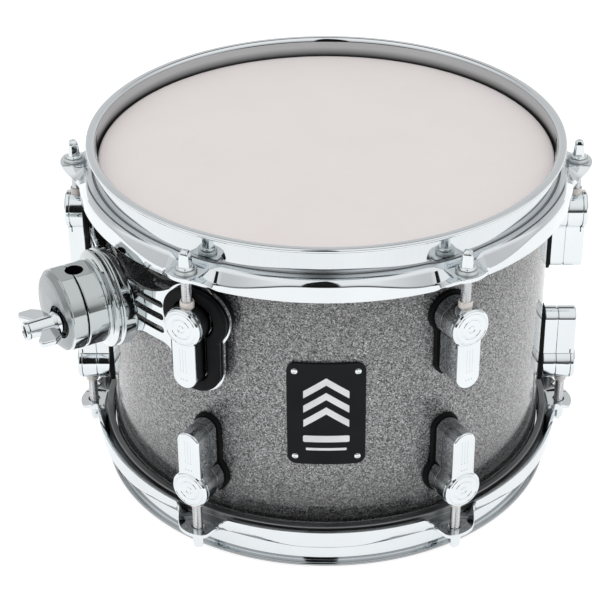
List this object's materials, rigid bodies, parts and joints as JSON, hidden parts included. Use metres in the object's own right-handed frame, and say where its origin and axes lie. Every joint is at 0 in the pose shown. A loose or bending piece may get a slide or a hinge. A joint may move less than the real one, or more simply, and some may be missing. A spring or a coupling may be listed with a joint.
{
  "type": "tom tom drum",
  "caption": "Rack tom drum: maple shell under sparkle lacquer, two tensioned heads in flanged steel hoops, keyhole lugs and an isolated side clamp.",
  "frame": {"origin": "centre of the batter head's playing face, on the drum's axis", "axes": "+Z along the drum's axis, out of the batter head; -Y towards the badge; the mount clamp is 60 degrees from -Y towards -X"},
  "size_m": [0.3155, 0.2778, 0.2022],
  "materials": {
    "sparkle_lacquer_maple": "dark titanium sparkle lacquer, high gloss, over maple plies",
    "batter_film": "coated polyester film, satin",
    "resonant_film": "polyester film",
    "flesh_hoop_alloy": "mill finish",
    "hoop_chrome": "polished chrome on pressed steel",
    "cast_chrome": "polished chrome on die-cast zinc",
    "gasket_rubber": "matt black",
    "isolator_rubber": "matt black",
    "badge_plate": "satin black",
    "washer_metal": "satin plated",
    "rod_steel": "nickel plated"
  },
  "bodies": {
    "root": {"shell": "sparkle_lacquer_maple", "batter_head_film": "batter_film", "batter_flesh_hoop": "flesh_hoop_alloy", "resonant_head_film": "resonant_film", "resonant_flesh_hoop": "flesh_hoop_alloy", "batter_hoop": "hoop_chrome", "resonant_hoop": "hoop_chrome", "batter_lug_front_left": "cast_chrome", "batter_lug_front_right": "cast_chrome", "batter_lug_right": "cast_chrome", "batter_lug_rear_right": "cast_chrome", "batter_lug_rear_left": "cast_chrome", "batter_lug_left": "cast_chrome", "resonant_lug_front_left": "cast_chrome", "resonant_lug_front_right": "cast_chrome", "resonant_lug_right": "cast_chrome", "resonant_lug_rear_right": "cast_chrome", "resonant_lug_rear_left": "cast_chrome", "resonant_lug_left": "cast_chrome", "batter_lug_gasket_front_right": "gasket_rubber", "batter_lug_gasket_right": "gasket_rubber", "batter_lug_gasket_rear_right": "gasket_rubber", "batter_lug_gasket_rear_left": "gasket_rubber", "resonant_lug_gasket_front_left": "gasket_rubber", "resonant_lug_gasket_front_right": "gasket_rubber", "resonant_lug_gasket_right": "gasket_rubber", "resonant_lug_gasket_rear_right": "gasket_rubber", "resonant_lug_gasket_rear_left": "gasket_rubber", "resonant_lug_gasket_left": "gasket_rubber", "mount_isolator_left": "isolator_rubber", "mount_isolator_front_left": "isolator_rubber", "mount_plate": "cast_chrome", "clamp_base": "cast_chrome", "badge": "badge_plate"},
    "batter_rod_washer_front_left": {"batter_rod_washer_front_left": "washer_metal"},
    "batter_rod_front_left": {"batter_rod_front_left": "rod_steel"},
    "batter_rod_washer_front_right": {"batter_rod_washer_front_right": "washer_metal"},
    "batter_rod_front_right": {"batter_rod_front_right": "rod_steel"},
    "batter_rod_washer_right": {"batter_rod_washer_right": "washer_metal"},
    "batter_rod_right": {"batter_rod_right": "rod_steel"},
    "batter_rod_washer_rear_right": {"batter_rod_washer_rear_right": "washer_metal"},
    "batter_rod_rear_right": {"batter_rod_rear_right": "rod_steel"},
    "batter_rod_washer_rear_left": {"batter_rod_washer_rear_left": "washer_metal"},
    "batter_rod_rear_left": {"batter_rod_rear_left": "rod_steel"},
    "batter_rod_washer_left": {"batter_rod_washer_left": "washer_metal"},
    "batter_rod_left": {"batter_rod_left": "rod_steel"},
    "resonant_rod_washer_front_left": {"resonant_rod_washer_front_left": "washer_metal"},
    "resonant_rod_front_left": {"resonant_rod_front_left": "rod_steel"},
    "resonant_rod_washer_front_right": {"resonant_rod_washer_front_right": "washer_metal"},
    "resonant_rod_front_right": {"resonant_rod_front_right": "rod_steel"},
    "resonant_rod_washer_right": {"resonant_rod_washer_right": "washer_metal"},
    "resonant_rod_right": {"resonant_rod_right": "rod_steel"},
    "resonant_rod_washer_rear_right": {"resonant_rod_washer_rear_right": "washer_metal"},
    "resonant_rod_rear_right": {"resonant_rod_rear_right": "rod_steel"},
    "resonant_rod_washer_rear_left": {"resonant_rod_washer_rear_left": "washer_metal"},
    "resonant_rod_rear_left": {"resonant_rod_rear_left": "rod_steel"},
    "resonant_rod_washer_left": {"resonant_rod_washer_left": "washer_metal"},
    "resonant_rod_left": {"resonant_rod_left": "rod_steel"},
    "clamp_jaw": {"clamp_jaw": "cast_chrome"},
    "wing_screw": {"wing_screw": "cast_chrome"}
  },
  "joints": [
    {"name": "batter_washer_travel_front_left", "type": "slide", "parent": "root", "child": "batter_rod_washer_front_left", "axis": [0, 0, 1], "range_m": [0, 0.015]},
    {"name": "batter_rod_turn_front_left", "type": "hinge", "parent": "batter_rod_washer_front_left", "child": "batter_rod_front_left", "pos_m": [-0.071, -0.12298, -0.00735], "axis": [0, 0, 1], "range_deg": [0, 5400]},
    {"name": "batter_washer_travel_front_right", "type": "slide", "parent": "root", "child": "batter_rod_washer_front_right", "axis": [0, 0, 1], "range_m": [0, 0.015]},
    {"name": "batter_rod_turn_front_right", "type": "hinge", "parent": "batter_rod_washer_front_right", "child": "batter_rod_front_right", "pos_m": [0.071, -0.12298, -0.00735], "axis": [0, 0, 1], "range_deg": [0, 5400]},
    {"name": "batter_washer_travel_right", "type": "slide", "parent": "root", "child": "batter_rod_washer_right", "axis": [0, 0, 1], "range_m": [0, 0.015]},
    {"name": "batter_rod_turn_right", "type": "hinge", "parent": "batter_rod_washer_right", "child": "batter_rod_right", "pos_m": [0.142, 0, -0.00735], "axis": [0, 0, 1], "range_deg": [0, 5400]},
    {"name": "batter_washer_travel_rear_right", "type": "slide", "parent": "root", "child": "batter_rod_washer_rear_right", "axis": [0, 0, 1], "range_m": [0, 0.015]},
    {"name": "batter_rod_turn_rear_right", "type": "hinge", "parent": "batter_rod_washer_rear_right", "child": "batter_rod_rear_right", "pos_m": [0.071, 0.12298, -0.00735], "axis": [0, 0, 1], "range_deg": [0, 5400]},
    {"name": "batter_washer_travel_rear_left", "type": "slide", "parent": "root", "child": "batter_rod_washer_rear_left", "axis": [0, 0, 1], "range_m": [0, 0.015]},
    {"name": "batter_rod_turn_rear_left", "type": "hinge", "parent": "batter_rod_washer_rear_left", "child": "batter_rod_rear_left", "pos_m": [-0.071, 0.12298, -0.00735], "axis": [0, 0, 1], "range_deg": [0, 5400]},
    {"name": "batter_washer_travel_left", "type": "slide", "parent": "root", "child": "batter_rod_washer_left", "axis": [0, 0, 1], "range_m": [0, 0.015]},
    {"name": "batter_rod_turn_left", "type": "hinge", "parent": "batter_rod_washer_left", "child": "batter_rod_left", "pos_m": [-0.142, 0, -0.00735], "axis": [0, 0, 1], "range_deg": [0, 5400]},
    {"name": "resonant_washer_travel_front_left", "type": "slide", "parent": "root", "child": "resonant_rod_washer_front_left", "axis": [0, 0, -1], "range_m": [0, 0.015]},
    {"name": "resonant_rod_turn_front_left", "type": "hinge", "parent": "resonant_rod_washer_front_left", "child": "resonant_rod_front_left", "pos_m": [-0.071, -0.12298, -0.17315], "axis": [0, 0, -1], "range_deg": [0, 5400]},
    {"name": "resonant_washer_travel_front_right", "type": "slide", "parent": "root", "child": "resonant_rod_washer_front_right", "axis": [0, 0, -1], "range_m": [0, 0.015]},
    {"name": "resonant_rod_turn_front_right", "type": "hinge", "parent": "resonant_rod_washer_front_right", "child": "resonant_rod_front_right", "pos_m": [0.071, -0.12298, -0.17315], "axis": [0, 0, -1], "range_deg": [0, 5400]},
    {"name": "resonant_washer_travel_right", "type": "slide", "parent": "root", "child": "resonant_rod_washer_right", "axis": [0, 0, -1], "range_m": [0, 0.015]},
    {"name": "resonant_rod_turn_right", "type": "hinge", "parent": "resonant_rod_washer_right", "child": "resonant_rod_right", "pos_m": [0.142, 0, -0.17315], "axis": [0, 0, -1], "range_deg": [0, 5400]},
    {"name": "resonant_washer_travel_rear_right", "type": "slide", "parent": "root", "child": "resonant_rod_washer_rear_right", "axis": [0, 0, -1], "range_m": [0, 0.015]},
    {"name": "resonant_rod_turn_rear_right", "type": "hinge", "parent": "resonant_rod_washer_rear_right", "child": "resonant_rod_rear_right", "pos_m": [0.071, 0.12298, -0.17315], "axis": [0, 0, -1], "range_deg": [0, 5400]},
    {"name": "resonant_washer_travel_rear_left", "type": "slide", "parent": "root", "child": "resonant_rod_washer_rear_left", "axis": [0, 0, -1], "range_m": [0, 0.015]},
    {"name": "resonant_rod_turn_rear_left", "type": "hinge", "parent": "resonant_rod_washer_rear_left", "child": "resonant_rod_rear_left", "pos_m": [-0.071, 0.12298, -0.17315], "axis": [0, 0, -1], "range_deg": [0, 5400]},
    {"name": "resonant_washer_travel_left", "type": "slide", "parent": "root", "child": "resonant_rod_washer_left", "axis": [0, 0, -1], "range_m": [0, 0.015]},
    {"name": "resonant_rod_turn_left", "type": "hinge", "parent": "resonant_rod_washer_left", "child": "resonant_rod_left", "pos_m": [-0.142, 0, -0.17315], "axis": [0, 0, -1], "range_deg": [0, 5400]},
    {"name": "jaw_slide", "type": "slide", "parent": "root", "child": "clamp_jaw", "axis": [-0.866, -0.5, 0], "range_m": [0, 0.005]},
    {"name": "wing_screw_turn", "type": "hinge", "parent": "clamp_jaw", "child": "wing_screw", "pos_m": [-0.13281, -0.08996, -0.05525], "axis": [-0.866, -0.5, 0], "range_deg": [0, 1440]}
  ],
  "couplings": [
    {"joint": "batter_rod_turn_front_left", "follows": "batter_washer_travel_front_left", "rad_per_m": 6283.2},
    {"joint": "batter_rod_turn_front_right", "follows": "batter_washer_travel_front_right", "rad_per_m": 6283.2},
    {"joint": "batter_rod_turn_right", "follows": "batter_washer_travel_right", "rad_per_m": 6283.2},
    {"joint": "batter_rod_turn_rear_right", "follows": "batter_washer_travel_rear_right", "rad_per_m": 6283.2},
    {"joint": "batter_rod_turn_rear_left", "follows": "batter_washer_travel_rear_left", "rad_per_m": 6283.2},
    {"joint": "batter_rod_turn_left", "follows": "batter_washer_travel_left", "rad_per_m": 6283.2},
    {"joint": "resonant_rod_turn_front_left", "follows": "resonant_washer_travel_front_left", "rad_per_m": 6283.2},
    {"joint": "resonant_rod_turn_front_right", "follows": "resonant_washer_travel_front_right", "rad_per_m": 6283.2},
    {"joint": "resonant_rod_turn_right", "follows": "resonant_washer_travel_right", "rad_per_m": 6283.2},
    {"joint": "resonant_rod_turn_rear_right", "follows": "resonant_washer_travel_rear_right", "rad_per_m": 6283.2},
    {"joint": "resonant_rod_turn_rear_left", "follows": "resonant_washer_travel_rear_left", "rad_per_m": 6283.2},
    {"joint": "resonant_rod_turn_left", "follows": "resonant_washer_travel_left", "rad_per_m": 6283.2},
    {"joint": "wing_screw_turn", "follows": "jaw_slide", "rad_per_m": 5026.5}
  ]
}
